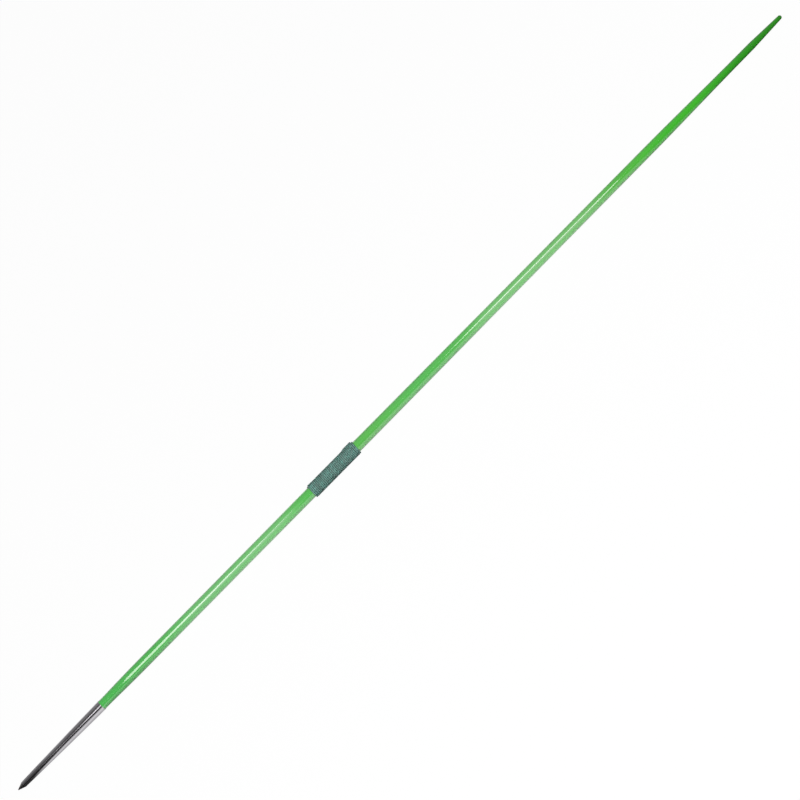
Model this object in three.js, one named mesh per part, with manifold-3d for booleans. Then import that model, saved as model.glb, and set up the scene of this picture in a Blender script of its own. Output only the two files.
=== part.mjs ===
// A men's 800 g throwing javelin, lying level on its grip.
//
// Millimetres. +X runs along the shaft towards the point, +Z is up, and the origin is on the floor
// halfway along. Places along the javelin are distances behind the tip of the point.
import * as THREE from "three";
import { mergeVertices } from "three/addons/utils/BufferGeometryUtils.js";
import Module from "manifold-3d";

// The whole javelin
const overallLength = 2610;
const shaftRadius = 14.5; // under the grip, where it is widest
const shaftWall = 0.95;

// Head: a tapered steel tube with a hard steel point
const headLength = 287;
const headRearRadius = 13.5;
const headWall = 0.8;
const headBowShare = 0.3; // how far the head's outline bows outwards, as a share of its taper
const pointAngle = THREE.MathUtils.degToRad(40); // across the whole cone
const pointShoulderRadius = 7.7;
const pointNoseRadius = 1;
const shankLength = 32; // of the point, inside the head
const socketLength = 60; // of the shaft, inside the head
const noseWeightLength = 35;

// Shaft: a tube swaged down at both ends
const neckLength = 18;
const swellLength = 137; // behind the neck
const swellTopRadius = 14.2;
const rearTaperDrop = 2.8; // of the radius, lost evenly from the grip to the tail
const tailSweepDrop = 2.6; // of the radius, lost in one smooth sweep before the tail
const tailSweepStartShare = 0.745; // of the way from the grip to the tail
const tailSweepEndShare = 0.97;
const frontPlugRecess = 2;
const frontPlugLength = 35;
const damperLength = 40;

// Tail: a turned cone on a spigot
const tailLength = 103;
const tailEndRadius = 5.25;
const spigotLength = 40;
const trimWeightRadius = 3.5;
const trimWeightLength = 16;

// Grip: one cord wound over a layer of tape
const gripSetback = 1003; // from the tip to the front edge of the grip
const gripLength = 155;
const cordThickness = 3.3;
const cordTurns = 24; // each stands for one and a half turns of the fine cord
const cordTurnGap = 0.5;
const tapeThickness = 0.3;
const tapeInset = 5; // from each edge of the grip
const frontTuckLength = 20; // of the winding that covers the cord's own tucked end
const rearTuckLength = 35;
const frontTuckRise = 0.4; // of the turns that lie over a tucked end
const rearTuckRise = 1.9;
const tuckRampLength = 7; // over which the turns climb onto it
const tuckAngle = THREE.MathUtils.degToRad(100); // that such a raised patch spans
const tuckBearing = THREE.MathUtils.degToRad(135); // of its middle, round from the floor
const restCutShare = 0.1; // of the cord's thickness, pressed flat where it lies on the floor

// Fits
const bondGap = 0.25; // adhesive between a piece and what it seats in or against
const tapeGap = 0.15; // under the tape and over it
const edgeChamfer = 0.3;
const cutOverrun = 10;

// How finely round shapes are drawn
const roundSides = 48;
const headSteps = 8;
const swellSteps = 8;
const straightSteps = 3; // from the swell to the grip
const rearTaperSteps = 7;
const tailSweepSteps = 8;
const noseSteps = 4;
const tailEndSteps = 6;
const cordTurnSteps = 24;
const cordSides = 6;

// Places worked out from the sizes above
const socketFront = headLength - socketLength;
const swellFront = headLength + neckLength;
const swellRear = swellFront + swellLength;
const middle = overallLength / 2;
const gripMiddle = gripSetback + gripLength / 2;
const gripRear = gripSetback + gripLength;
const tailFront = overallLength - tailLength;
const tailSweepFront = THREE.MathUtils.lerp(gripRear, tailFront, tailSweepStartShare);
const tailSweepRear = THREE.MathUtils.lerp(gripRear, tailFront, tailSweepEndShare);

// The nose is a small sphere that meets the cone on a tangent.
const halfAngle = pointAngle / 2;
const coneApex = pointNoseRadius - pointNoseRadius / Math.sin(halfAngle);
const pointShoulder = coneApex + pointShoulderRadius / Math.tan(halfAngle);
const headFront = pointShoulder + bondGap;
const shankRear = headFront + shankLength;

const colours = {
  polishedSteel: new THREE.Color("#a9a8aa"),
  darkSteel: new THREE.Color("#5c5b5d"),
  green: new THREE.Color("#37b336"),
  cord: new THREE.Color("#5f8a7e"),
  tape: new THREE.Color("#8c8f86"),
  cork: new THREE.Color("#b08c62"),
  aluminium: new THREE.Color("#b9bcc0"),
};

function finish(color, roughness, metalness) {
  return new THREE.MeshStandardMaterial({ color, roughness, metalness });
}

const materials = {
  polishedSteel: finish(colours.polishedSteel, 0.12, 1),
  pointSteel: finish(colours.darkSteel, 0.3, 1),
  weightSteel: finish(colours.darkSteel, 0.5, 1),
  plugAluminium: finish(colours.aluminium, 0.4, 1),
  greenCoat: finish(colours.green, 0.2, 0),
  greenTail: finish(colours.green, 0.25, 0),
  cord: finish(colours.cord, 0.85, 0),
  tape: finish(colours.tape, 0.9, 0),
  cork: finish(colours.cork, 0.95, 0),
};

// Radii along the javelin

function headRadius(behindTip) {
  const share = (behindTip - headFront) / (headLength - headFront);
  const bowed = share * (1 + headBowShare) - headBowShare * share * share;
  return pointShoulderRadius + (headRearRadius - pointShoulderRadius) * bowed;
}

function headBoreRadius(behindTip) {
  return headRadius(behindTip) - headWall;
}

const neckRadius = headBoreRadius(headLength) - bondGap;

function swellRadius(behindTip) {
  const share = (behindTip - swellFront) / swellLength;
  return neckRadius + (swellTopRadius - neckRadius) * Math.sin((share * Math.PI) / 2);
}

function frontTaperRadius(behindTip) {
  const share = (behindTip - swellRear) / (gripSetback - swellRear);
  return THREE.MathUtils.lerp(swellTopRadius, shaftRadius, share);
}

function rearTaperRadius(behindTip) {
  const share = (behindTip - gripRear) / (tailFront - gripRear);
  const swept = THREE.MathUtils.smoothstep(behindTip, tailSweepFront, tailSweepRear);
  return shaftRadius - rearTaperDrop * share - tailSweepDrop * swept;
}

function shaftOuterRadius(behindTip) {
  if (behindTip <= headLength) return headBoreRadius(behindTip) - bondGap;
  if (behindTip <= swellFront) return neckRadius;
  if (behindTip <= swellRear) return swellRadius(behindTip);
  if (behindTip <= gripSetback) return frontTaperRadius(behindTip);
  if (behindTip <= gripRear) return shaftRadius;
  return rearTaperRadius(behindTip);
}

function shaftBoreRadius(behindTip) {
  return shaftOuterRadius(behindTip) - shaftWall;
}

// Outlines are lists of [distance behind the tip, radius].

function stations(from, to, steps) {
  return Array.from({ length: steps + 1 }, (_, i) => from + ((to - from) * i) / steps);
}

function follow(from, to, steps, radiusAt) {
  return stations(from, to, steps).map((behindTip) => [behindTip, radiusAt(behindTip)]);
}

// A stretch of an arc round a centre on the axis. Angle zero is the arc's foremost point.
function endArc(centre, radius, fromAngle, toAngle, steps) {
  return stations(fromAngle, toAngle, steps).map((angle) => [
    centre - radius * Math.cos(angle),
    Math.abs(radius * Math.sin(angle)),
  ]);
}

// Turns an outline about the javelin's axis, which is Y here. A flat side faces the floor.
function turned(name, outline, material) {
  const profile = outline.map(
    ([behindTip, radius]) => new THREE.Vector2(radius, middle - behindTip),
  );
  const geometry = new THREE.LatheGeometry(
    profile.reverse(),
    roundSides,
    Math.PI / roundSides,
    2 * Math.PI,
  );
  const mesh = new THREE.Mesh(geometry, material);
  mesh.name = name;
  return mesh;
}

// A solid plug whose side keeps a bond line to a bore.
function plugOutline(front, length, boreAt, steps) {
  const rear = front + length;
  const side = follow(front + edgeChamfer, rear - edgeChamfer, steps, (s) => boreAt(s) - bondGap);
  return [
    [front, 0],
    [front, side[0][1] - edgeChamfer],
    ...side,
    [rear, side[side.length - 1][1] - edgeChamfer],
    [rear, 0],
  ];
}

// Head

function headPoint() {
  const nose = endArc(pointNoseRadius, pointNoseRadius, 0, Math.PI / 2 - halfAngle, noseSteps);
  const shank = follow(pointShoulder, shankRear - edgeChamfer, 2, (behindTip) => {
    return headBoreRadius(Math.max(behindTip, headFront)) - bondGap;
  });
  const outline = [
    ...nose,
    [pointShoulder, pointShoulderRadius],
    ...shank,
    [shankRear, shank[shank.length - 1][1] - edgeChamfer],
    [shankRear, 0],
  ];
  return turned("head_point", outline, materials.pointSteel);
}

function headShell() {
  const rimFront = headLength - edgeChamfer;
  const outside = follow(headFront, rimFront, headSteps, headRadius);
  const inside = follow(headFront, headLength, headSteps, headBoreRadius);
  const outline = [
    ...outside,
    [headLength, headRadius(rimFront) - edgeChamfer],
    ...inside.reverse(),
    outside[0],
  ];
  return turned("head_shell", outline, materials.polishedSteel);
}

function noseWeight() {
  const outline = plugOutline(shankRear + bondGap, noseWeightLength, headBoreRadius, 2);
  return turned("nose_weight", outline, materials.weightSteel);
}

// Shaft

function shaftTube() {
  const outside = [
    ...follow(socketFront, headLength, 2, shaftOuterRadius),
    ...follow(swellFront, swellRear, swellSteps, shaftOuterRadius),
    ...follow(swellRear, gripSetback, straightSteps, shaftOuterRadius).slice(1),
    ...follow(gripRear, tailSweepFront, rearTaperSteps, shaftOuterRadius),
    ...follow(tailSweepFront, tailSweepRear, tailSweepSteps, shaftOuterRadius).slice(1),
    [tailFront, shaftOuterRadius(tailFront)],
  ];
  const inside = outside.map(([behindTip]) => [behindTip, shaftBoreRadius(behindTip)]);
  const outline = [...outside, ...inside.reverse(), outside[0]];
  return turned("shaft_tube", outline, materials.greenCoat);
}

// The tube is swaged down over this plug, which stiffens the wall inside the head.
function frontPlug() {
  const front = socketFront + frontPlugRecess;
  const outline = plugOutline(front, frontPlugLength, shaftBoreRadius, 2);
  return turned("front_plug", outline, materials.plugAluminium);
}

// Cork under the grip keeps the thin tube from ringing.
function vibrationDamper() {
  const outline = plugOutline(gripMiddle - damperLength / 2, damperLength, shaftBoreRadius, 1);
  return turned("vibration_damper", outline, materials.cork);
}

// Tail

const spigotRadius = shaftBoreRadius(tailFront) - bondGap;
const spigotFront = tailFront - spigotLength;
const pocketRadius = trimWeightRadius + bondGap;
const pocketRear = spigotFront + trimWeightLength + 2 * bondGap;

function tailCone() {
  const shoulder = tailFront + bondGap;
  const endCentre = overallLength - tailEndRadius;
  const outline = [
    [pocketRear, 0],
    [pocketRear, pocketRadius],
    [spigotFront, pocketRadius],
    [spigotFront, spigotRadius - edgeChamfer],
    [spigotFront + edgeChamfer, spigotRadius],
    [shoulder, spigotRadius],
    [shoulder, shaftOuterRadius(tailFront)],
    ...endArc(endCentre, tailEndRadius, Math.PI / 2, Math.PI, tailEndSteps),
  ];
  return turned("tail_cone", outline, materials.greenTail);
}

function trimWeight() {
  const front = spigotFront + bondGap;
  const outline = plugOutline(front, trimWeightLength, () => pocketRadius, 1);
  return turned("trim_weight", outline, materials.weightSteel);
}

// Grip

const tapeInnerRadius = shaftRadius + tapeGap;
const tapeOuterRadius = tapeInnerRadius + tapeThickness;

function gripTape() {
  const front = gripSetback + tapeInset;
  const rear = gripRear - tapeInset;
  const outline = [
    [front, tapeOuterRadius],
    [rear, tapeOuterRadius],
    [rear, tapeInnerRadius],
    [front, tapeInnerRadius],
    [front, tapeOuterRadius],
  ];
  return turned("grip_tape", outline, materials.tape);
}

// The turns are drawn with straight steps, so their inner corners stand off far enough for the
// middle of each step to clear the tape.
const cordStep = (2 * Math.PI) / cordTurnSteps;
const cordInnerRadius = (tapeOuterRadius + tapeGap) / Math.cos(cordStep / 2);
const cordLineRadius = cordInnerRadius + cordThickness / 2;
const cordOuterRadius = cordInnerRadius + cordThickness;
const cordPitch = (gripLength + cordTurnGap) / (cordTurns + 1);
const cordWidth = cordPitch - cordTurnGap;
const axisHeight = cordOuterRadius * Math.cos(cordStep / 2) - restCutShare * cordThickness;

// Both ends of the cord are tucked under the turns on one side of the grip. This is how far the
// turns rise there. Bearings are measured round the axis from the side that faces the floor.
function tuckLift(bearing, behindTip) {
  const fromTuck = THREE.MathUtils.euclideanModulo(bearing - tuckBearing, 2 * Math.PI);
  const aside = Math.min(fromTuck, 2 * Math.PI - fromTuck);
  const round = Math.max(0, 1 - (2 * aside) / tuckAngle);
  const overFront = frontTuckLength - (behindTip - gripSetback);
  const overRear = rearTuckLength - (gripRear - behindTip);
  const rise =
    frontTuckRise * THREE.MathUtils.smoothstep(overFront, 0, tuckRampLength) +
    rearTuckRise * THREE.MathUtils.smoothstep(overRear, 0, tuckRampLength);
  return rise * THREE.MathUtils.smoothstep(round, 0, 1);
}

// The corners of one flattened oval across the cord.
function cordRing(bearing, behindTip) {
  const outwards = new THREE.Vector3(Math.sin(bearing), 0, -Math.cos(bearing));
  const radius = cordLineRadius + tuckLift(bearing, behindTip);
  return Array.from({ length: cordSides }, (_, side) => {
    const turn = (side * 2 * Math.PI) / cordSides;
    const along = (cordWidth / 2) * Math.cos(turn);
    const up = ((cordThickness / 2) * Math.sin(turn)) / Math.cos(Math.PI / cordSides);
    return outwards
      .clone()
      .multiplyScalar(radius + up)
      .add(new THREE.Vector3(0, middle - behindTip + along, 0));
  });
}

// The cord's line starts and ends over its tucked ends. The middle of a step faces the floor.
function cordRings() {
  const firstLine = gripSetback + cordWidth / 2;
  const firstBearing = (Math.round(tuckBearing / cordStep) + 0.5) * cordStep;
  const rings = [];
  for (let step = 0; step <= cordTurns * cordTurnSteps; step++) {
    const bearing = firstBearing - step * cordStep;
    rings.push(cordRing(bearing, firstLine + (step * cordPitch) / cordTurnSteps));
  }
  return rings;
}

function tubeGeometry(rings) {
  const sides = rings[0].length;
  const positions = rings.flat().flatMap((corner) => corner.toArray());
  const faces = [];
  for (let ring = 0; ring + 1 < rings.length; ring++) {
    for (let side = 0; side < sides; side++) {
      const a = ring * sides + side;
      const b = ring * sides + ((side + 1) % sides);
      faces.push(a, b, b + sides, a, b + sides, a + sides);
    }
  }
  const last = (rings.length - 1) * sides;
  for (let side = 1; side + 1 < sides; side++) {
    faces.push(0, side + 1, side);
    faces.push(last, last + side, last + side + 1);
  }
  return new THREE.BufferGeometry()
    .setAttribute("position", new THREE.Float32BufferAttribute(positions, 3))
    .setIndex(faces);
}

// The least distance between corners of neighbouring turns.
function leastTurnGap(rings) {
  let least = Infinity;
  for (let ring = 0; ring + cordTurnSteps < rings.length; ring++) {
    for (const step of [-1, 0, 1]) {
      for (const corner of rings[ring]) {
        for (const other of rings[ring + cordTurnSteps + step] ?? []) {
          least = Math.min(least, corner.distanceTo(other));
        }
      }
    }
  }
  return least;
}

const wasm = await Module();
wasm.setup();

function toSolid(geometry) {
  const bare = new THREE.BufferGeometry()
    .setAttribute("position", geometry.getAttribute("position"))
    .setIndex(geometry.index);
  const merged = mergeVertices(bare);
  return new wasm.Manifold(
    new wasm.Mesh({
      numProp: 3,
      vertProperties: merged.attributes.position.array,
      triVerts: new Uint32Array(merged.index.array),
    }),
  );
}

function toGeometry(solid) {
  const mesh = solid.getMesh();
  return new THREE.BufferGeometry()
    .setAttribute("position", new THREE.BufferAttribute(mesh.vertProperties, mesh.numProp))
    .setIndex(new THREE.BufferAttribute(mesh.triVerts, 1));
}

// The winding, pressed flat along the line where it lies on the floor.
function gripCord() {
  const rings = cordRings();
  console.log("least gap between turns of the cord:", leastTurnGap(rings).toFixed(2), "mm");
  const belowFloor = new THREE.BoxGeometry(
    2 * cordOuterRadius + cutOverrun,
    gripLength + cutOverrun,
    cutOverrun,
  ).translate(0, middle - gripMiddle, -axisHeight - cutOverrun / 2);
  const solid = toSolid(tubeGeometry(rings)).subtract(toSolid(belowFloor));
  const mesh = new THREE.Mesh(toGeometry(solid), materials.cord);
  mesh.name = "grip_cord";
  return mesh;
}

// Inside this group the javelin's axis is Y, pointing forwards.
const onAxis = new THREE.Group();
onAxis.rotation.z = -Math.PI / 2;
onAxis.position.z = axisHeight;
onAxis.add(
  headPoint(),
  headShell(),
  noseWeight(),
  shaftTube(),
  frontPlug(),
  vibrationDamper(),
  tailCone(),
  trimWeight(),
  gripTape(),
  gripCord(),
);

const javelin = new THREE.Group();
javelin.add(onAxis);

export default javelin;
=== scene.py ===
"""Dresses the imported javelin: its finish, its wound cord and the plain studio that it lies in.

Lengths named in millimetres are the part's own sizes. Blender's objects are in metres.
"""

import math

import bmesh
import bpy
import numpy as np
from mathutils import Matrix, Vector


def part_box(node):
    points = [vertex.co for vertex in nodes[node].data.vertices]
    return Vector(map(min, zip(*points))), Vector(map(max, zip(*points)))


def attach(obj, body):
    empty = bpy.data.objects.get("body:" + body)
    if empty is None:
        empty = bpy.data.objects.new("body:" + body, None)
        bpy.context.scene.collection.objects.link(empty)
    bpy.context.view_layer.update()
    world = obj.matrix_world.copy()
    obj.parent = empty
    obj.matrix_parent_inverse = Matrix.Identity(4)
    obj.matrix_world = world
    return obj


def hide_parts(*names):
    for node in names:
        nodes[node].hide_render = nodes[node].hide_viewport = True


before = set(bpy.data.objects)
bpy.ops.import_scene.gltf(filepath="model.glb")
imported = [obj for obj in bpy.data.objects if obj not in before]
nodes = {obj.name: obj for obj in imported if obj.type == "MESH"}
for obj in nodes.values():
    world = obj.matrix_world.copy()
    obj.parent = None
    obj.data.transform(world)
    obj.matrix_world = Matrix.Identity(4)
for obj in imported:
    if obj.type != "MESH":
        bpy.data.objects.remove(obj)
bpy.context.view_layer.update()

MM = 0.001

# The part's own sizes, in millimetres. Places along it are distances behind the tip.
OVERALL_LENGTH = 2610
MIDDLE = OVERALL_LENGTH / 2
SHAFT_RADIUS = 14.5
SHAFT_WALL = 0.95
HEAD_LENGTH = 287
HEAD_REAR_RADIUS = 13.5
HEAD_WALL = 0.8
HEAD_BOW_SHARE = 0.3
HALF_POINT_ANGLE = math.radians(20)
POINT_SHOULDER_RADIUS = 7.7
POINT_NOSE_RADIUS = 1
SHANK_LENGTH = 32
SOCKET_LENGTH = 60
NECK_LENGTH = 18
SWELL_LENGTH = 137
SWELL_TOP_RADIUS = 14.2
REAR_TAPER_DROP = 2.8
TAIL_SWEEP_DROP = 2.6
TAIL_SWEEP_START_SHARE = 0.745
TAIL_SWEEP_END_SHARE = 0.97
TAIL_LENGTH = 103
TAIL_END_RADIUS = 5.25
SPIGOT_LENGTH = 40
TRIM_POCKET_RADIUS = 3.75
TRIM_POCKET_LENGTH = 16.5
GRIP_FRONT = 1003
GRIP_LENGTH = 155
TAPE_OUTER_RADIUS = 14.95
TUCK_FRONT_LENGTH = 20
TUCK_REAR_LENGTH = 35
TUCK_FRONT_RISE = 0.4
TUCK_REAR_RISE = 1.9
TUCK_RAMP_LENGTH = 7
TUCK_ANGLE = math.radians(100)
TUCK_BEARING = math.radians(135)
BOND_GAP = 0.25

GRIP_REAR = GRIP_FRONT + GRIP_LENGTH
TAIL_FRONT = OVERALL_LENGTH - TAIL_LENGTH
SWELL_FRONT = HEAD_LENGTH + NECK_LENGTH
SWELL_REAR = SWELL_FRONT + SWELL_LENGTH
TAIL_SWEEP_FRONT = GRIP_REAR + TAIL_SWEEP_START_SHARE * (TAIL_FRONT - GRIP_REAR)
TAIL_SWEEP_REAR = GRIP_REAR + TAIL_SWEEP_END_SHARE * (TAIL_FRONT - GRIP_REAR)
SOCKET_FRONT = HEAD_LENGTH - SOCKET_LENGTH
CONE_APEX = POINT_NOSE_RADIUS - POINT_NOSE_RADIUS / math.sin(HALF_POINT_ANGLE)
POINT_SHOULDER = CONE_APEX + POINT_SHOULDER_RADIUS / math.tan(HALF_POINT_ANGLE)
HEAD_FRONT = POINT_SHOULDER + BOND_GAP
SHANK_REAR = HEAD_FRONT + SHANK_LENGTH

shaft_low, shaft_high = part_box("shaft_tube")
AXIS_HEIGHT = (shaft_low.z + shaft_high.z) / 2

# How finely the turned pieces are drawn. The shares place the middle of a rounded front corner.
ROUND_SIDES = 128
ON_AXIS_RADIUS = 1e-6
SHARP_ANGLE = math.radians(32)
EDGE_ROUND = 0.3
JOINT_ROUND = 0.1
CORNER_BACK_SHARE = 0.3
CORNER_IN_SHARE = 0.4
EDGE_STEPS = 4
NOSE_STEPS = 8
CONE_STEPS = 12
HEAD_STEPS = 60
HEAD_BORE_STEPS = 12
SOCKET_STEPS = 6
SOCKET_MARGIN = 2
NECK_STEPS = 4
SWELL_STEPS = 60
FRONT_SHAFT_STEPS = 16
GRIP_SHAFT_STEPS = 2
REAR_SHAFT_STEPS = 120
TAIL_STEPS = 40
TAIL_END_STEPS = 16


# Outlines


def smoothstep(value, low, high):
    share = np.clip((value - low) / (high - low), 0, 1)
    return share * share * (3 - 2 * share)


def head_radius(behind):
    share = (behind - HEAD_FRONT) / (HEAD_LENGTH - HEAD_FRONT)
    bowed = share * (1 + HEAD_BOW_SHARE) - HEAD_BOW_SHARE * share * share
    return POINT_SHOULDER_RADIUS + (HEAD_REAR_RADIUS - POINT_SHOULDER_RADIUS) * bowed


def head_bore_radius(behind):
    return head_radius(behind) - HEAD_WALL


NECK_RADIUS = head_bore_radius(HEAD_LENGTH) - BOND_GAP


def shaft_radius(behind):
    if behind <= HEAD_LENGTH:
        return head_bore_radius(behind) - BOND_GAP
    if behind <= SWELL_FRONT:
        return NECK_RADIUS
    if behind <= SWELL_REAR:
        share = (behind - SWELL_FRONT) / SWELL_LENGTH
        return NECK_RADIUS + (SWELL_TOP_RADIUS - NECK_RADIUS) * math.sin(share * math.pi / 2)
    if behind <= GRIP_FRONT:
        share = (behind - SWELL_REAR) / (GRIP_FRONT - SWELL_REAR)
        return SWELL_TOP_RADIUS + (SHAFT_RADIUS - SWELL_TOP_RADIUS) * share
    if behind <= GRIP_REAR:
        return SHAFT_RADIUS
    share = (behind - GRIP_REAR) / (TAIL_FRONT - GRIP_REAR)
    swept = smoothstep(behind, TAIL_SWEEP_FRONT, TAIL_SWEEP_REAR)
    return SHAFT_RADIUS - REAR_TAPER_DROP * share - TAIL_SWEEP_DROP * swept


def follow(start, end, steps, radius_at):
    """Points of an outline from start to end, as (behind, radius)."""
    return [(s, radius_at(s)) for s in np.linspace(start, end, steps + 1)]


def rounded(corner_behind, corner_radius, size):
    """A rounded outer corner at a piece's rear edge."""
    points = []
    for turn in np.linspace(0, math.pi / 2, EDGE_STEPS + 1):
        behind = corner_behind - size * (1 - math.sin(turn))
        radius = corner_radius - size * (1 - math.cos(turn))
        points.append((behind, radius))
    return points


def turned(name, outline):
    """Turns a closed outline, or one that starts and ends on the axis, about the javelin's axis."""
    mesh = bpy.data.meshes.new(name)
    model = bmesh.new()
    rings = []
    turns = np.linspace(0, 2 * math.pi, ROUND_SIDES, endpoint=False)
    for behind, radius in outline:
        x = (MIDDLE - behind) * MM
        if radius < ON_AXIS_RADIUS:
            rings.append([model.verts.new((x, 0, AXIS_HEIGHT))])
            continue
        reach = radius * MM
        rings.append(
            [
                model.verts.new((x, reach * math.sin(t), AXIS_HEIGHT - reach * math.cos(t)))
                for t in turns
            ]
        )
    pairs = list(zip(rings, rings[1:]))
    if len(rings[0]) > 1:
        pairs.append((rings[-1], rings[0]))
    for here, there in pairs:
        for i in range(ROUND_SIDES):
            j = (i + 1) % ROUND_SIDES
            if len(here) == 1:
                model.faces.new((here[0], there[i], there[j]))
            elif len(there) == 1:
                model.faces.new((here[i], here[j], there[0]))
            else:
                model.faces.new((here[i], here[j], there[j], there[i]))
    bmesh.ops.recalc_face_normals(model, faces=model.faces)
    model.to_mesh(mesh)
    model.free()
    mesh.shade_smooth()
    mesh.set_sharp_from_angle(angle=SHARP_ANGLE)
    piece = bpy.data.objects.new(name, mesh)
    bpy.context.scene.collection.objects.link(piece)
    return piece


def place(piece, slot, *nodes):
    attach(piece, "root")
    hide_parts(*nodes)
    return piece


# Turned pieces


def make_point():
    nose = [
        (
            POINT_NOSE_RADIUS - POINT_NOSE_RADIUS * math.cos(t),
            POINT_NOSE_RADIUS * math.sin(t),
        )
        for t in np.linspace(0, math.pi / 2 - HALF_POINT_ANGLE, NOSE_STEPS + 1)
    ]
    cone = follow(
        nose[-1][0],
        POINT_SHOULDER - EDGE_ROUND,
        CONE_STEPS,
        lambda s: (s - CONE_APEX) * math.tan(HALF_POINT_ANGLE),
    )
    shoulder_rear = POINT_SHOULDER + BOND_GAP * CORNER_BACK_SHARE
    shoulder = [
        (POINT_SHOULDER, POINT_SHOULDER_RADIUS - EDGE_ROUND * CORNER_IN_SHARE),
        (shoulder_rear, POINT_SHOULDER_RADIUS - EDGE_ROUND),
    ]
    shank = [
        (shoulder_rear, head_bore_radius(HEAD_FRONT) - BOND_GAP),
        (SHANK_REAR - EDGE_ROUND, head_bore_radius(SHANK_REAR) - BOND_GAP),
        (SHANK_REAR, head_bore_radius(SHANK_REAR) - BOND_GAP - EDGE_ROUND),
        (SHANK_REAR, 0),
    ]
    return turned("steel_point", nose + cone[1:] + shoulder + shank)


def make_head():
    rim = rounded(HEAD_LENGTH, head_radius(HEAD_LENGTH), EDGE_ROUND)
    corner = (
        HEAD_FRONT + EDGE_ROUND * CORNER_BACK_SHARE,
        POINT_SHOULDER_RADIUS - EDGE_ROUND * CORNER_IN_SHARE,
    )
    front = [(HEAD_FRONT, POINT_SHOULDER_RADIUS - EDGE_ROUND), corner]
    outside_rear = HEAD_LENGTH - 2 * EDGE_ROUND
    outside = follow(HEAD_FRONT + EDGE_ROUND, outside_rear, HEAD_STEPS, head_radius)
    inside = follow(HEAD_LENGTH, HEAD_FRONT, HEAD_BORE_STEPS, head_bore_radius)
    return turned("steel_head", front + outside + rim + inside)


def make_tube():
    rear = TAIL_FRONT - 4 * JOINT_ROUND
    support = (TAIL_FRONT - 3 * JOINT_ROUND, TAIL_FRONT - 2 * JOINT_ROUND)
    outside = follow(SOCKET_FRONT, HEAD_LENGTH - SOCKET_MARGIN, SOCKET_STEPS, shaft_radius)
    outside += follow(HEAD_LENGTH, SWELL_FRONT, NECK_STEPS, shaft_radius)[:-1]
    outside += follow(SWELL_FRONT, SWELL_REAR, SWELL_STEPS, shaft_radius)
    outside += follow(SWELL_REAR, GRIP_FRONT, FRONT_SHAFT_STEPS, shaft_radius)[1:]
    outside += follow(GRIP_FRONT, GRIP_REAR, GRIP_SHAFT_STEPS, shaft_radius)[1:]
    outside += follow(GRIP_REAR, rear, REAR_SHAFT_STEPS, shaft_radius)[1:]
    outside += [(behind, shaft_radius(behind)) for behind in support]
    outside += rounded(TAIL_FRONT, shaft_radius(TAIL_FRONT), JOINT_ROUND)

    # The bore has one point for each place along the outside
    bore = {}
    for behind, _ in reversed(outside):
        bore.setdefault(round(behind, 3), (behind, shaft_radius(behind) - SHAFT_WALL))
    return turned("green_shaft", outside + list(bore.values()))


def make_tail():
    front = TAIL_FRONT + BOND_GAP
    front_radius = shaft_radius(TAIL_FRONT)
    end_centre = OVERALL_LENGTH - TAIL_END_RADIUS
    spigot_front = TAIL_FRONT - SPIGOT_LENGTH
    spigot_radius = front_radius - SHAFT_WALL - BOND_GAP
    pocket_rear = spigot_front + TRIM_POCKET_LENGTH
    spigot = [
        (pocket_rear, 0),
        (pocket_rear, TRIM_POCKET_RADIUS),
        (spigot_front, TRIM_POCKET_RADIUS),
        (spigot_front, spigot_radius - EDGE_ROUND),
        (spigot_front + EDGE_ROUND, spigot_radius),
        (front, spigot_radius),
    ]
    shoulder = [
        (front, front_radius - JOINT_ROUND),
        (
            front + JOINT_ROUND * CORNER_BACK_SHARE,
            front_radius - JOINT_ROUND * CORNER_BACK_SHARE,
        ),
        (front + JOINT_ROUND, front_radius),
        (front + 2 * JOINT_ROUND, front_radius),
    ]
    slope = (TAIL_END_RADIUS - front_radius) / (end_centre - front)
    cone = follow(
        front + 3 * JOINT_ROUND,
        end_centre,
        TAIL_STEPS,
        lambda s: front_radius + slope * (s - front),
    )
    end = [
        (end_centre + TAIL_END_RADIUS * math.sin(t), TAIL_END_RADIUS * math.cos(t))
        for t in np.linspace(0, math.pi / 2, TAIL_END_STEPS + 1)
    ]
    end[-1] = (OVERALL_LENGTH, 0)
    return turned("green_tail", spigot + shoulder + cone + end[1:])


# The grip: one twisted cord, both of whose ends are tucked under its own turns

CORD_REVOLUTIONS = 35
CORD_HALF_WIDTH = 2.14
CORD_THICKNESS = 3.5
CORD_INNER_RADIUS = 15.05
END_TURN_SHARE = 0.78
CORD_MEAN_RADIUS = CORD_INNER_RADIUS + CORD_THICKNESS / 2
CORD_SQUARENESS = 2.5
STRANDS = 4
STRAND_POINTS = 5
STRAND_CREASE = 0.06
STRAND_ROUNDNESS = 0.7
STRAND_LAY = 12
GROOVE_SHARPNESS = 4
STEPS_PER_TURN = 128
LANE_POINTS = 400
BEND_RADIUS = 4
BEND_STEPS = 8
BEND_LENGTH = BEND_RADIUS * math.pi / 2
TUCKED_HALF_WIDTH = 3.3
TUCKED_LEAST_THICKNESS = 0.35
TUCKED_MARGIN = 2
TAPE_CLEARANCE = 0.05
FULL_START_SHARE = 0.4
FULL_END_SHARE = 1.8
CLIMB_LENGTH = 2 * SHAFT_RADIUS


def tuck_rise(behind):
    """How far the winding is raised over a tucked end at this place along the grip."""
    over_front = TUCK_FRONT_LENGTH - (behind - GRIP_FRONT)
    over_rear = TUCK_REAR_LENGTH - (GRIP_REAR - behind)
    front = TUCK_FRONT_RISE * smoothstep(over_front, 0, TUCK_RAMP_LENGTH)
    return front + TUCK_REAR_RISE * smoothstep(over_rear, 0, TUCK_RAMP_LENGTH)


def tuck_lift(bearing, behind):
    from_tuck = np.mod(bearing - TUCK_BEARING, 2 * math.pi)
    aside = np.minimum(from_tuck, 2 * math.pi - from_tuck)
    return tuck_rise(behind) * smoothstep(1 - 2 * aside / TUCK_ANGLE, 0, 1)


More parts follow.
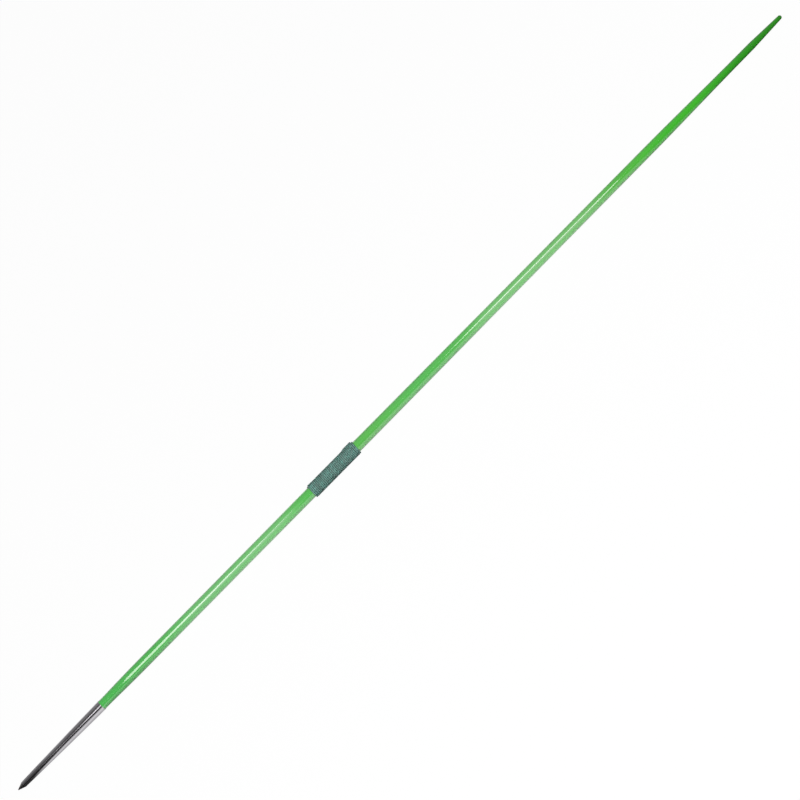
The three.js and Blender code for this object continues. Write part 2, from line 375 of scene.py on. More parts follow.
def cord_path():
    """The cord's line on the unrolled grip, as rows of (round, behind), in even steps."""
    step = 2 * math.pi * CORD_MEAN_RADIUS / STEPS_PER_TURN
    first_lane = GRIP_FRONT + CORD_HALF_WIDTH
    last_lane = GRIP_REAR - CORD_HALF_WIDTH
    tuck = TUCK_BEARING * CORD_MEAN_RADIUS
    whole = 2 * math.pi * CORD_MEAN_RADIUS * CORD_REVOLUTIONS
    bend = np.linspace(0, math.pi / 2, BEND_STEPS + 1)
    points = [(tuck, GRIP_FRONT + TUCK_FRONT_LENGTH - TUCKED_MARGIN)]
    for t in bend:
        points.append(
            (
                tuck - BEND_RADIUS * (1 - math.cos(t)),
                first_lane + BEND_RADIUS * (1 - math.sin(t)),
            )
        )
    for share in np.linspace(0, 1, LANE_POINTS)[1:-1]:
        points.append(
            (
                tuck - BEND_RADIUS - share * (whole - 2 * BEND_RADIUS),
                first_lane + share * (last_lane - first_lane),
            )
        )
    for t in bend:
        points.append(
            (
                tuck - whole + BEND_RADIUS * (1 - math.sin(t)),
                last_lane - BEND_RADIUS * (1 - math.cos(t)),
            )
        )
    points.append((tuck - whole, GRIP_REAR - TUCK_REAR_LENGTH + TUCKED_MARGIN))
    points = np.array(points)
    lengths = np.hypot(*np.diff(points, axis=0).T)
    reached = np.concatenate([[0], np.cumsum(lengths)])
    places = np.linspace(0, reached[-1], int(reached[-1] / step) + 1)
    line = np.column_stack([np.interp(places, reached, points[:, k]) for k in (0, 1)])
    return line, places


def between_ends(places, low, high):
    """0 along both tucked ends, 1 between them, and a smooth rise from low to high past each run."""
    straight = TUCKED_MARGIN + CORD_HALF_WIDTH + BEND_RADIUS
    front_run = TUCK_FRONT_LENGTH - straight
    rear_run = TUCK_REAR_LENGTH - straight
    front = smoothstep(places, front_run + low, front_run + high)
    return front * smoothstep(places[-1] - places, rear_run + low, rear_run + high)


def add_levels(mesh, name, levels):
    """A number at each corner of the mesh, which a finish reads by its name."""
    layer = mesh.attributes.new(name, "FLOAT", "POINT")
    layer.data.foreach_set("value", levels.astype(np.float32))


def make_cord():
    line, places = cord_path()
    heading = np.gradient(line, axis=0)
    heading /= np.linalg.norm(heading, axis=1)[:, None]
    aside = np.column_stack([-heading[:, 1], heading[:, 0]])
    bearing = line[:, 0] / CORD_MEAN_RADIUS
    behind = line[:, 1]

    # Each end lies flat under the turns. The cord comes up to its full thickness past the bend.
    fullness = between_ends(places, FULL_START_SHARE * BEND_LENGTH, FULL_END_SHARE * BEND_LENGTH)
    risen = between_ends(places, BEND_LENGTH, BEND_LENGTH + CLIMB_LENGTH)
    room = np.maximum(tuck_rise(behind), TUCKED_LEAST_THICKNESS)
    from_edge = np.minimum(behind - GRIP_FRONT, GRIP_REAR - behind)
    full_share = smoothstep(from_edge, CORD_HALF_WIDTH, 3 * CORD_HALF_WIDTH)
    turn_thickness = CORD_THICKNESS * (END_TURN_SHARE + (1 - END_TURN_SHARE) * full_share)
    thickness = room * (1 - fullness) + turn_thickness * fullness
    half_width = TUCKED_HALF_WIDTH * (1 - fullness) + CORD_HALF_WIDTH * fullness
    tucked_inner = TAPE_OUTER_RADIUS + TAPE_CLEARANCE
    inner = tucked_inner * (1 - fullness) + CORD_INNER_RADIUS * fullness
    middle_radius = inner + thickness / 2 + tuck_lift(bearing, behind) * fullness * risen

    points = STRANDS * STRAND_POINTS
    index = np.arange(points)
    in_strand = (index % STRAND_POINTS) / STRAND_POINTS
    crest = np.abs(np.sin(math.pi * in_strand)) ** STRAND_ROUNDNESS
    lobe = 1 - STRAND_CREASE * (1 - crest)
    turn = 2 * math.pi * (places[:, None] / STRAND_LAY + index[None, :] / points)
    power = 2 / CORD_SQUARENESS
    wide = np.sign(np.cos(turn)) * np.abs(np.cos(turn)) ** power * lobe
    high = np.sign(np.sin(turn)) * np.abs(np.sin(turn)) ** power * lobe
    across = half_width[:, None] * wide
    radius = middle_radius[:, None] + thickness[:, None] / 2 * high
    round_place = (line[:, 0][:, None] + across * aside[:, 0][:, None]) / CORD_MEAN_RADIUS
    behind_place = behind[:, None] + across * aside[:, 1][:, None]
    x = (MIDDLE - behind_place) * MM
    y = -radius * np.sin(round_place) * MM
    z = np.maximum(AXIS_HEIGHT - radius * np.cos(round_place) * MM, 0)
    corners = np.stack([x, y, z], axis=-1).reshape(-1, 3)

    rings = len(places)
    a = (np.arange(rings - 1)[:, None] * points + index[None, :]).ravel()
    b = (np.arange(rings - 1)[:, None] * points + (index[None, :] + 1) % points).ravel()
    faces = np.column_stack([a, b, b + points, a + points]).tolist()
    faces.append(list(range(points))[::-1])
    faces.append([(rings - 1) * points + k for k in range(points)])
    mesh = bpy.data.meshes.new("wound_cord")
    mesh.from_pydata(corners.tolist(), [], faces)
    add_levels(mesh, "crease", np.tile(1 - crest, rings))
    add_levels(mesh, "groove", (np.abs(np.cos(turn)) ** GROOVE_SHARPNESS).ravel())
    add_levels(mesh, "run", np.repeat(places * MM, points))
    add_levels(mesh, "strand", np.tile((index // STRAND_POINTS) / STRANDS, rings))
    model = bmesh.new()
    model.from_mesh(mesh)
    bmesh.ops.recalc_face_normals(model, faces=model.faces)
    model.to_mesh(mesh)
    model.free()
    mesh.shade_smooth()
    piece = bpy.data.objects.new("wound_cord", mesh)
    bpy.context.scene.collection.objects.link(piece)
    print("cord length in mm:", round(float(places[-1])))
    return piece


# Materials

# The usual spread of a noise's values
NOISE_LOW = 0.3
NOISE_HIGH = 0.7
NOISE_ROUGHNESS = 0.55

# Patterns on the javelin, as a scale along it, one across it and how detailed the pattern is
STEEL_STREAKS = (5, 700, 3)
STEEL_CLOUDS = (14, 50, 3)
COAT_CLOUDS = (9, 40, 3)
COAT_FLECKS = (220, 500, 2)
COAT_RIPPLE = (25, 80, 2)
# The cord's lighter patches are painted sheen
CORD_SHEEN_PATCHES = (45, 70, 2)
CORD_FIBRES = (1500, 1500, 3)
PLAIN_DETAIL = 5

# Patterns that follow the run of the cord, as a scale and how detailed the pattern is
CORD_MOTTLE = (130, 4)
CORD_TURNS = (4.5, 1)
CORD_GREYS = (3.1, 1)

# Heights of the fine relief, in metres
STEEL_STREAK_HEIGHT = 0.000002
COAT_RIPPLE_HEIGHT = 0.000003
CORD_FIBRE_HEIGHT = 0.0002
CORD_FIBRE_STRENGTH = 0.4
PLAIN_HEIGHT = 0.0001
CORK_HEIGHT = 0.0004

# From one end of a pattern to the other: its places in the noise, or the levels that it gives
STEEL_TONES = (0.12, 0.4)
POINT_ROUGHNESS = (0.13, 0.22)
HEAD_ROUGHNESS = (0.06, 0.1)
COAT_ROUGHNESS = (0.51, 0.6)
COAT_CLOUD_SHADES = (0.96, 1.02)
COAT_FLECK_SHADES = (-0.012, 0.012)
CORD_FIBRE_SHADES = (0.94, 1.04)
CORD_GREY_REACH = (0.45, 0.65)
PLAIN_TONES = (0.35, 0.65)
PLAIN_ROUGHNESS_STEP = 0.06

# How much each pattern counts in the cord's tone, where the patches are painted sheen, and how far
# the grey and the painted shade in the creases and grooves go
CORD_MOTTLE_SHARE = 0.15
CORD_SHEEN_PATCH_SHARE = 0.35
CORD_TURN_SHARE = 0.5
CORD_GREY_SHARE = 0.45
CORD_CREASE_SHARE = 0.12
CORD_GROOVE_SHARE = 0.44


def node_math(tree, operation, *levels):
    node = tree.nodes.new("ShaderNodeMath")
    node.operation = operation
    for socket, level in zip(node.inputs, levels):
        if isinstance(level, (int, float)):
            socket.default_value = level
        else:
            tree.links.new(level, socket)
    return node.outputs["Value"]


def node_ramp(tree, value, stops):
    """A colour by a value from 0 to 1, through the stops as (value, colour)."""
    node = tree.nodes.new("ShaderNodeValToRGB")
    elements = node.color_ramp.elements
    while len(elements) < len(stops):
        elements.new(1)
    for element, (position, colour) in zip(elements, stops):
        element.position = position
        element.color = colour
    tree.links.new(value, node.inputs["Fac"])
    return node.outputs["Color"]


def node_axes(tree, output):
    parts = tree.nodes.new("ShaderNodeSeparateXYZ")
    tree.links.new(tree.nodes.new("ShaderNodeTexCoord").outputs[output], parts.inputs["Vector"])
    return parts.outputs


def srgb(red, green, blue):
    """A colour given as it looks on a screen, from 0 to 255, in Blender's linear values."""
    out = []
    for level in (red, green, blue):
        share = level / 255
        out.append(share / 12.92 if share <= 0.04045 else ((share + 0.055) / 1.055) ** 2.4)
    return (*out, 1)


class Finish:
    """A node material built in a few lines."""

    def __init__(self, name):
        self.material = bpy.data.materials.new(name)
        self.material.use_nodes = True
        self.tree = self.material.node_tree
        self.nodes = self.tree.nodes
        self.links = self.tree.links
        self.shader = self.nodes["Principled BSDF"]
        self.place = self.nodes.new("ShaderNodeTexCoord").outputs["Object"]

    def set(self, **levels):
        for name, level in levels.items():
            socket = name.replace("_", " ").title().replace("Ior", "IOR")
            self.shader.inputs[socket].default_value = level
        return self

    def link(self, source, target):
        self.links.new(source, self.shader.inputs[target])

    def noise(self, vector, scale, detail):
        node = self.nodes.new("ShaderNodeTexNoise")
        node.inputs["Scale"].default_value = scale
        node.inputs["Detail"].default_value = detail
        node.inputs["Roughness"].default_value = NOISE_ROUGHNESS
        self.links.new(vector, node.inputs["Vector"])
        return node.outputs["Fac"]

    def pattern(self, along, across, detail):
        """A noise that is stretched along the javelin."""
        node = self.nodes.new("ShaderNodeMapping")
        node.inputs["Scale"].default_value = (along, across, across)
        self.links.new(self.place, node.inputs["Vector"])
        return self.noise(node.outputs["Vector"], 1, detail)

    def ramp(self, value, stops):
        return node_ramp(self.tree, value, stops)

    def range(self, value, low, high, to_low, to_high):
        node = self.nodes.new("ShaderNodeMapRange")
        names = ("From Min", "From Max", "To Min", "To Max")
        for name, level in zip(names, (low, high, to_low, to_high)):
            node.inputs[name].default_value = level
        self.links.new(value, node.inputs["Value"])
        return node.outputs["Result"]

    def spread(self, noise, to_low, to_high):
        """Levels from to_low to to_high over the usual spread of a noise."""
        return self.range(noise, NOISE_LOW, NOISE_HIGH, to_low, to_high)

    def math(self, operation, first, second):
        return node_math(self.tree, operation, first, second)

    def mix(self, factor, first, second, blend="MIX"):
        node = self.nodes.new("ShaderNodeMix")
        node.data_type = "RGBA"
        node.blend_type = blend
        sockets = (node.inputs[0], node.inputs[6], node.inputs[7])
        for socket, level in zip(sockets, (factor, first, second)):
            if isinstance(level, (int, float, tuple)):
                socket.default_value = level
            else:
                self.links.new(level, socket)
        return node.outputs[2]

    def attribute(self, name):
        node = self.nodes.new("ShaderNodeAttribute")
        node.attribute_name = name
        return node.outputs["Fac"]

    def bump(self, height, distance, strength=1.0):
        node = self.nodes.new("ShaderNodeBump")
        node.inputs["Distance"].default_value = distance
        node.inputs["Strength"].default_value = strength
        self.links.new(height, node.inputs["Height"])
        self.link(node.outputs["Normal"], "Normal")


def steel(name, dark, light, roughness):
    """Turned steel, polished lengthwise, with fine streaks and faint handling marks."""
    finish = Finish(name).set(metallic=1.0)
    streaks = finish.pattern(*STEEL_STREAKS)
    clouds = finish.pattern(*STEEL_CLOUDS)
    tone = finish.math("MULTIPLY", streaks, clouds)
    finish.link(finish.ramp(tone, list(zip(STEEL_TONES, (dark, light)))), "Base Color")
    finish.link(finish.spread(streaks, *roughness), "Roughness")
    finish.bump(streaks, STEEL_STREAK_HEIGHT)
    return finish.material


def green_coat(name, stops):
    """Gloss coat over green. Its colour changes slowly along the shaft, with painted shade darkening
    it towards the tail's end and painted sheen making it paler and cooler over the rest of the shaft.
    """
    finish = Finish(name).set(coat_weight=1.0, coat_roughness=0.05, coat_ior=2.0)
    finish.set(specular_ior_level=0.25)
    along = node_axes(finish.tree, "Object")["X"]
    painted_shade_share = finish.range(along, -MIDDLE * MM, MIDDLE * MM, 0.0, 1.0)
    base = finish.ramp(painted_shade_share, stops)
    clouds = finish.pattern(*COAT_CLOUDS)
    flecks = finish.pattern(*COAT_FLECKS)
    cloud_shade = finish.spread(clouds, *COAT_CLOUD_SHADES)
    shade = finish.math("ADD", cloud_shade, finish.spread(flecks, *COAT_FLECK_SHADES))
    finish.link(finish.mix(1.0, base, shade, "MULTIPLY"), "Base Color")
    finish.link(finish.spread(clouds, *COAT_ROUGHNESS), "Roughness")
    finish.bump(finish.pattern(*COAT_RIPPLE), COAT_RIPPLE_HEIGHT)
    return finish.material


def cord_finish():
    """Twisted fibres, whose tone changes from turn to turn, with lighter patches of painted sheen and
    painted shade in the creases between strands and the grooves between turns.
    """
    finish = Finish("cord").set(roughness=0.92, sheen_weight=0.04, sheen_roughness=0.5)
    finish.set(specular_ior_level=0.12)
    node = finish.nodes.new("ShaderNodeCombineXYZ")
    finish.links.new(finish.attribute("run"), node.inputs["X"])
    finish.links.new(finish.attribute("strand"), node.inputs["Y"])
    run = node.outputs["Vector"]
    mottle = finish.noise(run, *CORD_MOTTLE)
    turns = finish.noise(run, *CORD_TURNS)
    greys = finish.noise(run, *CORD_GREYS)
    patches = finish.pattern(*CORD_SHEEN_PATCHES)
    fibres = finish.pattern(*CORD_FIBRES)
    tone = finish.math(
        "ADD",
        finish.math("MULTIPLY", mottle, CORD_MOTTLE_SHARE),
        finish.math("MULTIPLY", patches, CORD_SHEEN_PATCH_SHARE),
    )
    tone = finish.math("ADD", tone, finish.math("MULTIPLY", turns, CORD_TURN_SHARE))
    base = finish.ramp(tone, CORD_STOPS)
    base = finish.mix(finish.range(greys, *CORD_GREY_REACH, 0.0, CORD_GREY_SHARE), base, CORD_GREY)
    base = finish.mix(1.0, base, finish.spread(fibres, *CORD_FIBRE_SHADES), "MULTIPLY")
    # Painted shade: the creases between strands and the grooves between turns are darkened towards
    # CORD_SHADOW
    for name, share in (("crease", CORD_CREASE_SHARE), ("groove", CORD_GROOVE_SHARE)):
        painted_shade = finish.math("MULTIPLY", finish.attribute(name), share)
        base = finish.mix(painted_shade, base, CORD_SHADOW)
    finish.link(base, "Base Color")
    finish.bump(fibres, CORD_FIBRE_HEIGHT, CORD_FIBRE_STRENGTH)
    return finish.material


def plain_finish(name, first, second, scale, roughness, metallic=0.0, height=PLAIN_HEIGHT):
    """A mottled finish for the pieces inside."""
    finish = Finish(name).set(metallic=metallic)
    grain = finish.pattern(scale, scale, PLAIN_DETAIL)
    finish.link(finish.ramp(grain, list(zip(PLAIN_TONES, (first, second)))), "Base Color")
    smoother = roughness - PLAIN_ROUGHNESS_STEP
    rougher = roughness + PLAIN_ROUGHNESS_STEP
    finish.link(finish.spread(grain, smoother, rougher), "Roughness")
    finish.bump(grain, height)
    return finish.material


def cover(piece, material):
    piece.data.materials.clear()
    piece.data.materials.append(material)


# The green coat's colours, by the share of the way from the tail's end to the point. Painted shade
# darkens the green over the last stretch to the tail's end, and painted sheen makes it paler and
# cooler over the rest of the shaft.
GREEN_WITH_PAINTED_LIGHT_STOPS = [
    (0.0, srgb(40, 142, 16)),
    (0.05, srgb(41, 158, 18)),
    (0.08, srgb(51, 176, 27)),
    (0.115, srgb(62, 191, 36)),
    (0.15, srgb(63, 191, 42)),
    (0.19, srgb(78, 191, 58)),
    (0.22, srgb(84, 189, 66)),
    (0.48, srgb(86, 189, 85)),
    (0.54, srgb(91, 188, 80)),
    (0.63, srgb(82, 190, 79)),
    (0.9, srgb(72, 186, 80)),
]

# The cord's colours, by its tone
CORD_STOPS = [
    (0.42, srgb(93, 127, 118)),
    (0.5, srgb(105, 147, 137)),
    (0.58, srgb(115, 167, 156)),
]
CORD_GREY = srgb(124, 139, 135)
CORD_SHADOW = srgb(44, 66, 62)

point = place(make_point(), "point_steel", "head_point")
head = place(make_head(), "polished_steel", "head_shell")
tube = place(make_tube(), "green_coat", "shaft_tube")
tail = place(make_tail(), "green_tail", "tail_cone")
cord = place(make_cord(), "cord", "grip_cord")

cover(point, steel("point_steel", srgb(118, 115, 115), srgb(176, 173, 172), POINT_ROUGHNESS))
cover(head, steel("polished_steel", srgb(177, 174, 178), srgb(206, 204, 208), HEAD_ROUGHNESS))
cover(tube, green_coat("green_coat", GREEN_WITH_PAINTED_LIGHT_STOPS))
cover(tail, green_coat("green_tail", GREEN_WITH_PAINTED_LIGHT_STOPS))
cover(cord, cord_finish())

inner_steel = plain_finish(
    "weight_steel", srgb(150, 148, 150), srgb(172, 170, 172), 300, roughness=0.5, metallic=1.0
)
plug_aluminium = plain_finish(
    "plug_aluminium", srgb(214, 216, 218), srgb(226, 228, 230), 400, roughness=0.35, metallic=1.0
)
cork = plain_finish(
    "cork", srgb(150, 112, 72), srgb(190, 152, 108), 500, roughness=0.9, height=CORK_HEIGHT
)
tape = plain_finish("tape", srgb(66, 88, 82), srgb(84, 108, 100), 900, roughness=0.9)
cover(nodes["nose_weight"], inner_steel)
cover(nodes["trim_weight"], inner_steel)
cover(nodes["front_plug"], plug_aluminium)
cover(nodes["vibration_damper"], cork)
cover(nodes["grip_tape"], tape)


# Studio

ROOM_LIGHT = 0.06
WHITE = (1, 1, 1)

# The key lamp. Its power is per square metre of lamp, for a radiance of 1.
KEY_PLACE = (0.1, 1.85, 2.72)
KEY_TARGET = (0.1, 0, 0)
KEY_WIDTH = 3.6
KEY_HEIGHT = 1.2
KEY_RADIANCE = 7.7
LAMP_POWER = 4

# The backdrop, whose top is lower ahead of the javelin
BACKDROP_SHARE = 0.86
BACKDROP_STRENGTH = 1.125
BACKDROP_TOP = math.sin(math.radians(17))
BACKDROP_FULL = math.sin(math.radians(9))
AHEAD_DROP = 0.045
AHEAD_START = 0.19
AHEAD_FULL = 0.25

# The dark cards, as where they are clear and where they are full along X
CARD_REACH = 8
CARD_DISTANCE = 3
CARD_BOTTOM = 0.001
CARD_TOP = 2
TIP_CARD_CLEAR = 2.05
TIP_CARD_FULL = 2.18
TIP_CARD_LEVEL = 0.02
TAIL_CARD_CLEAR = -1.3
TAIL_CARD_FULL = -1.5
TAIL_CARD_LEVEL = 0.08

# Brightness of the room by the angle over the javelin, from the +Y horizon to the -Y one
ROOM_LEVELS = [
    (0, 0.4),
    (16, 0.24),
    (31, 0.06),
    (45, 0.045),
    (59, 0.14),
    (90, 0.13),
    (122, 0.33),
    (142, 0.29),
    (163, 0.42),
    (180, 0.5),
]

# What two parts of the ceiling add to it, and where they start and end along X
CEILING_LEVELS = [
    (0, 0.5),
    (16, 1.1),
    (45, 1.9),
    (58, 1.75),
    (75, 1.1),
    (90, 0.78),
    (105, 0.6),
    (122, 0.56),
    (142, 0.46),
    (168, 0.5),
]
CEILING_COLOUR = (1, 0.5, 1)
CEILING_REACHES = [(0.073, 0.093, 0.15, 0.185), (-0.165, -0.14, -0.07, -0.05)]

# The floor, and how bright it is in reflections by its place along X. This uneven glow is painted
# reflection on the coat and the head.
FLOOR_PAINT = 0.2
FLOOR_SIZE = 60
SHINE_HALF_LENGTH = 2
FLOOR_SHINE = [
    (-1.16, 0.05),
    (-1.1, 0.13),
    (-1.0, 0.56),
    (-0.91, 0.64),
    (-0.82, 0.78),
    (-0.73, 1.15),
    (-0.62, 1.32),
    (-0.52, 1.48),
    (-0.3, 1.42),
    (-0.2, 1.1),
    (-0.12, 1.06),
    (0.35, 1.06),
    (0.43, 1.28),
    (0.52, 1.36),
    (0.6, 1.24),
    (0.7, 1.27),
    (0.82, 0.84),
    (0.9, 0.57),
    (1.018, 0.53),
    (1.034, 1.3),
    (1.06, 1.2),
    (1.205, 1.12),
    (1.235, 0.95),
    (1.262, 0.1),
    (1.28, 0.03),
]

# Painted shadow: the floor's reflection is darker close under the head, for the head's contact shadow
HEAD_SHADE = 0.4
HEAD_SHADE_START = 1.02
HEAD_SHADE_FULL = 1.04
HEAD_SHADE_NEAR = 0.012
HEAD_SHADE_FAR = 0.06

# The rows of lamps, by their angle over the javelin in degrees and their radiance
STRIP_DISTANCE = 2.5
FRONT_STRIP_TOP_ANGLE = 57
FRONT_STRIP_ANGLE = 60.5
FRONT_STRIP_END_ANGLE = 62.5
HEAD_STRIP_ANGLE = 56.5
REAR_STRIP_ANGLE = 61
FRONT_STRIP_RADIANCE = 3.25
REAR_STRIP_RADIANCE = 3.9
HEAD_STRIP_RADIANCE = 1.5
COAT_STRIP_COLOUR = (1, 0.85, 0.97)

# The lamps in each row, as where one starts along X and how wide it is
FRONT_STRIP_TOP = [(1.54, 1.84), (1.25, 0)]
FRONT_STRIP = [(1.25, 1.36), (1.1, 1.25), (0.97, 0)]
FRONT_STRIP_END = [
    (0.97, 1.05),
    (0.89, 0.68),
    (0.81, 0.56),
    (0.73, 0.24),
    (0.65, 0.16),
    (0.57, 0),
]
HEAD_STRIP = [
    (1.97, 0.13),
    (1.88, 0.06),
    (1.83, 0.12),
    (1.78, 0.3),
    (1.75, 0.55),
    (1.712, 1.05),
    (1.67, 0),
]
REAR_STRIP = [
    (-0.25, 0.15),
    (-0.295, 0.3),
    (-0.35, 0.66),
    (-0.4, 0.51),
    (-0.5, 0.55),
    (-0.62, 0.59),
    (-0.78, 0.47),
    (-1.04, 0.7),
    (-1.165, 0),
]


def node_step(tree, value, start, end):
    """0 at the start and 1 at the end, with a smooth rise between them."""
    node = tree.nodes.new("ShaderNodeMapRange")
    node.interpolation_type = "SMOOTHSTEP"
    node.inputs["From Min"].default_value = start
    node.inputs["From Max"].default_value = end
    tree.links.new(value, node.inputs["Value"])
    return node.outputs["Result"]


def node_levels(tree, value, stops):
    """Brightness by a value from 0 to 1, through the stops as (value, level)."""
    return node_ramp(tree, value, [(position, (level, level, level, 1)) for position, level in stops])


def backdrop_rays(tree, share):
    """The share for camera, glossy and transmission rays, and 0 for the light that falls."""
    rays = tree.nodes.new("ShaderNodeLightPath").outputs
    seen = node_math(tree, "MAXIMUM", rays["Is Camera Ray"], rays["Is Glossy Ray"])
    seen = node_math(tree, "MAXIMUM", seen, rays["Is Transmission Ray"])
    return node_math(tree, "MULTIPLY", seen, share)


def floor_strength(tree):
    """An even floor for the camera. In reflections its glow changes along the javelin, which is
    painted reflection, and is darker close under the head, which is painted shadow.
    """
    axes = node_axes(tree, "Object")
    along = node_math(tree, "MULTIPLY_ADD", axes["X"], 0.5 / SHINE_HALF_LENGTH, 0.5)
    stops = [(0.5 + 0.5 * x / SHINE_HALF_LENGTH, level) for x, level in FLOOR_SHINE]
    shine = node_levels(tree, along, stops)
    ahead = node_step(tree, axes["X"], HEAD_SHADE_START, HEAD_SHADE_FULL)
    aside = node_math(tree, "ABSOLUTE", axes["Y"])
    near = node_step(tree, aside, HEAD_SHADE_FAR, HEAD_SHADE_NEAR)
    shade = node_math(tree, "MULTIPLY", node_math(tree, "MULTIPLY", ahead, near), HEAD_SHADE)
    shine = node_math(tree, "MULTIPLY", shine, node_math(tree, "SUBTRACT", 1, shade))
    shown = tree.nodes.new("ShaderNodeMix")
    shown.data_type = "FLOAT"
    rays = tree.nodes.new("ShaderNodeLightPath").outputs
    tree.links.new(rays["Is Camera Ray"], shown.inputs[0])
    tree.links.new(shine, shown.inputs[2])
    shown.inputs[3].default_value = 1
    return node_math(tree, "MULTIPLY", shown.outputs[0], BACKDROP_STRENGTH)


def flat_piece(name, corners):
    """A stage piece of one face, with a bare material whose node tree is also given back."""
    mesh = bpy.data.meshes.new(name)
    mesh.from_pydata(corners, [], [(0, 1, 2, 3)])
    piece = bpy.data.objects.new(name, mesh)
    bpy.context.scene.collection.objects.link(piece)
    material = bpy.data.materials.new(name)
    material.use_nodes = True
    tree = material.node_tree
    tree.nodes.remove(tree.nodes["Principled BSDF"])
    piece.data.materials.append(material)
    return piece, tree


def make_floor():
    half = FLOOR_SIZE / 2
    corners = [(-half, -half, 0), (half, -half, 0), (half, half, 0), (-half, half, 0)]
    floor, tree = flat_piece("floor", corners)
    diffuse = tree.nodes.new("ShaderNodeBsdfDiffuse")
    diffuse.inputs["Color"].default_value = (FLOOR_PAINT, FLOOR_PAINT, FLOOR_PAINT, 1)
    glow = tree.nodes.new("ShaderNodeEmission")
    tree.links.new(floor_strength(tree), glow.inputs["Strength"])
    mixed = tree.nodes.new("ShaderNodeMixShader")
    tree.links.new(backdrop_rays(tree, BACKDROP_SHARE), mixed.inputs["Fac"])
    tree.links.new(diffuse.outputs["BSDF"], mixed.inputs[1])
    tree.links.new(glow.outputs["Emission"], mixed.inputs[2])
    tree.links.new(mixed.outputs["Shader"], tree.nodes["Material Output"].inputs["Surface"])


def make_card(name, clear, full, end, level):
    """A dark card past one end of the javelin, which only reflections show. It fades in along X."""
    corners = [
        (clear, CARD_DISTANCE, CARD_BOTTOM),
        (end, CARD_DISTANCE, CARD_BOTTOM),
        (end, CARD_DISTANCE, CARD_TOP),
        (clear, CARD_DISTANCE, CARD_TOP),
    ]
    card, tree = flat_piece(name, corners)
    glow = tree.nodes.new("ShaderNodeEmission")
    glow.inputs["Strength"].default_value = level
    mixed = tree.nodes.new("ShaderNodeMixShader")
    shown = node_step(tree, node_axes(tree, "Object")["X"], clear, full)
    tree.links.new(shown, mixed.inputs["Fac"])
    tree.links.new(tree.nodes.new("ShaderNodeBsdfTransparent").outputs["BSDF"], mixed.inputs[1])
    tree.links.new(glow.outputs["Emission"], mixed.inputs[2])
    tree.links.new(mixed.outputs["Shader"], tree.nodes["Material Output"].inputs["Surface"])
    card.visible_camera = False
    card.visible_diffuse = False
    card.visible_shadow = False
    card.visible_transmission = False


def make_world():
    """A pale backdrop all round, up to some way above the horizon, and a dim room above it.

    Over the front and the rear of the javelin the ceiling is paler, which its coat shows. The
    backdrop is a little lower ahead of it, which the head shows.
    """
    world = bpy.data.worlds.new("studio")
    bpy.context.scene.world = world
    world.use_nodes = True
    tree = world.node_tree
    axes = node_axes(tree, "Generated")
    height = axes["Z"]
    turn = node_math(tree, "DIVIDE", node_math(tree, "ARCTAN2", height, axes["Y"]), math.pi)
    room_stops = [(degrees / 180, level) for degrees, level in ROOM_LEVELS]
    ceiling_stops = [(degrees / 180, level) for degrees, level in CEILING_LEVELS]
    room = node_levels(tree, turn, room_stops)
    glow = node_levels(tree, turn, ceiling_stops)
    panels = 0
    for near_start, near_end, far_start, far_end in CEILING_REACHES:
        near = node_step(tree, axes["X"], near_start, near_end)
        far = node_step(tree, axes["X"], far_end, far_start)
        panels = node_math(tree, "ADD", panels, node_math(tree, "MULTIPLY", near, far))
    added = tree.nodes.new("ShaderNodeVectorMath")
    added.operation = "MULTIPLY_ADD"
    added.inputs[0].default_value = CEILING_COLOUR
    tree.links.new(node_math(tree, "MULTIPLY", glow, panels), added.inputs[1])
    tree.links.new(room, added.inputs[2])
    mixed = tree.nodes.new("ShaderNodeMix")
    mixed.data_type = "RGBA"
    ahead = node_step(tree, axes["X"], AHEAD_START, AHEAD_FULL)
    reached = node_math(tree, "MULTIPLY_ADD", ahead, AHEAD_DROP, height)
    backdrop = node_step(tree, reached, BACKDROP_TOP, BACKDROP_FULL)
    tree.links.new(backdrop, mixed.inputs[0])
    tree.links.new(added.outputs["Vector"], mixed.inputs[6])
    mixed.inputs[7].default_value = (*WHITE, 1)
    shown = tree.nodes.new("ShaderNodeMix")
    shown.data_type = "RGBA"
    tree.links.new(backdrop_rays(tree, 1), shown.inputs[0])
    shown.inputs[6].default_value = (ROOM_LIGHT, ROOM_LIGHT, ROOM_LIGHT, 1)
    tree.links.new(mixed.outputs[2], shown.inputs[7])
    tree.links.new(shown.outputs[2], tree.nodes["Background"].inputs["Color"])


def lamp(name, place, target, width, height, radiance):
    light = bpy.data.lights.new(name, "AREA")
    light.shape = "RECTANGLE"
    light.size = width
    light.size_y = height
    light.energy = LAMP_POWER * width * height * radiance
    shown = bpy.data.objects.new(name, light)
    bpy.context.scene.collection.objects.link(shown)
    shown.location = place
    facing = (Vector(place) - Vector(target)).normalized()
    upright = facing.cross(Vector((1, 0, 0))).normalized()
    level = upright.cross(facing).normalized()
    shown.rotation_mode = "QUATERNION"
    shown.rotation_quaternion = Matrix((level, upright, facing)).transposed().to_quaternion()
    shown.visible_camera = False
    return shown


def strips(name, stops, degrees, radiance, colour=COAT_STRIP_COLOUR):
    """Long lamps parallel to the javelin, end to end, which only reflections show."""
    angle = math.radians(degrees)
    out = STRIP_DISTANCE * math.cos(angle)
    up = AXIS_HEIGHT + STRIP_DISTANCE * math.sin(angle)
    for number, ((start, width), (end, _)) in enumerate(zip(stops, stops[1:])):
        middle = (start + end) / 2
        target = (middle, 0, AXIS_HEIGHT)
        shown = lamp(f"{name}_{number}", (middle, out, up), target, start - end, width, radiance)
        shown.data.color = colour
        shown.visible_diffuse = False


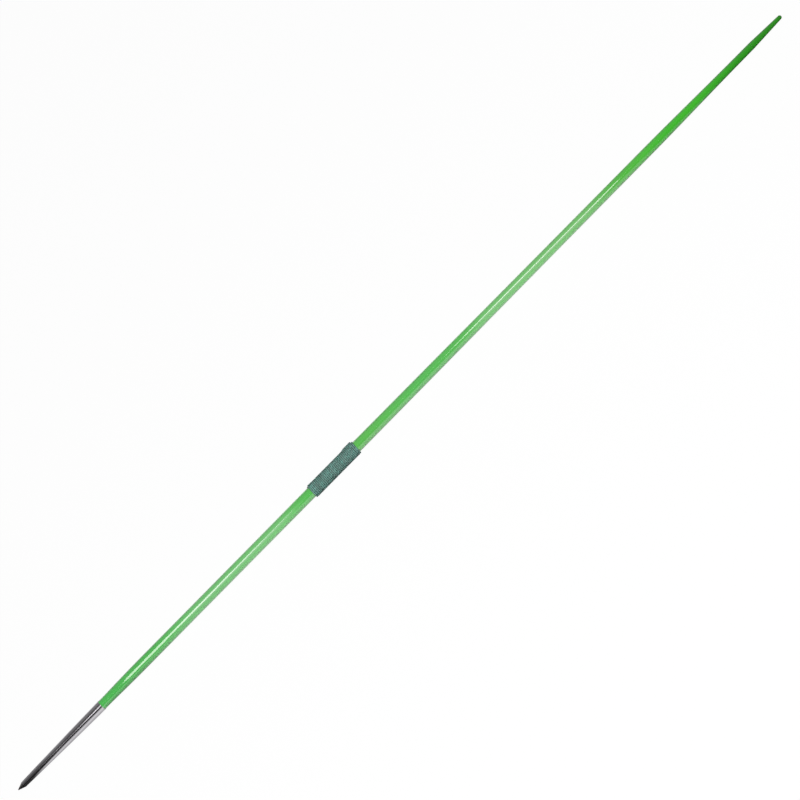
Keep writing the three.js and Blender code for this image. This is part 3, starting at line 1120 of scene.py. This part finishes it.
def make_camera():
    """A long lens, square to the javelin's middle from 45 degrees above its +Y side."""
    lens = 85
    sensor = 36
    frame_width = 1.9213
    frame_pixels = 800
    shift_right = 0.38
    shift_up = 2.98
    view_end = 200
    distance = frame_width * lens / sensor
    elevation = math.radians(45)
    roll = math.radians(45.42)
    back = Vector((0, math.cos(elevation), math.sin(elevation)))
    along = Vector((1, 0, 0))
    up = Vector((0, -math.sin(elevation), math.cos(elevation)))
    image_right = -math.cos(roll) * along - math.sin(roll) * up
    image_up = -math.sin(roll) * along + math.cos(roll) * up
    pixel = frame_width / frame_pixels
    shift = shift_right * image_right + shift_up * image_up
    centre = Vector((0, 0, AXIS_HEIGHT)) + pixel * shift
    data = bpy.data.cameras.new("camera")
    data.lens = lens
    data.sensor_width = sensor
    data.clip_end = view_end
    camera = bpy.data.objects.new("camera", data)
    bpy.context.scene.collection.objects.link(camera)
    camera.rotation_mode = "QUATERNION"
    camera.rotation_quaternion = Matrix((image_right, image_up, back)).transposed().to_quaternion()
    camera.location = centre + back * distance
    bpy.context.scene.camera = camera


make_floor()
make_world()
make_camera()
make_card("tip_card", TIP_CARD_CLEAR, TIP_CARD_FULL, CARD_REACH, TIP_CARD_LEVEL)
make_card("tail_card", TAIL_CARD_CLEAR, TAIL_CARD_FULL, -CARD_REACH, TAIL_CARD_LEVEL)
strips("front_strip_top", FRONT_STRIP_TOP, FRONT_STRIP_TOP_ANGLE, FRONT_STRIP_RADIANCE)
strips("front_strip", FRONT_STRIP, FRONT_STRIP_ANGLE, FRONT_STRIP_RADIANCE)
strips("front_strip_end", FRONT_STRIP_END, FRONT_STRIP_END_ANGLE, FRONT_STRIP_RADIANCE)
strips("head_strip", HEAD_STRIP, HEAD_STRIP_ANGLE, HEAD_STRIP_RADIANCE, WHITE)
strips("rear_strip", REAR_STRIP, REAR_STRIP_ANGLE, REAR_STRIP_RADIANCE)
key = lamp("key", KEY_PLACE, KEY_TARGET, KEY_WIDTH, KEY_HEIGHT, KEY_RADIANCE)
key.visible_glossy = False

bpy.context.scene.view_settings.view_transform = "Standard"
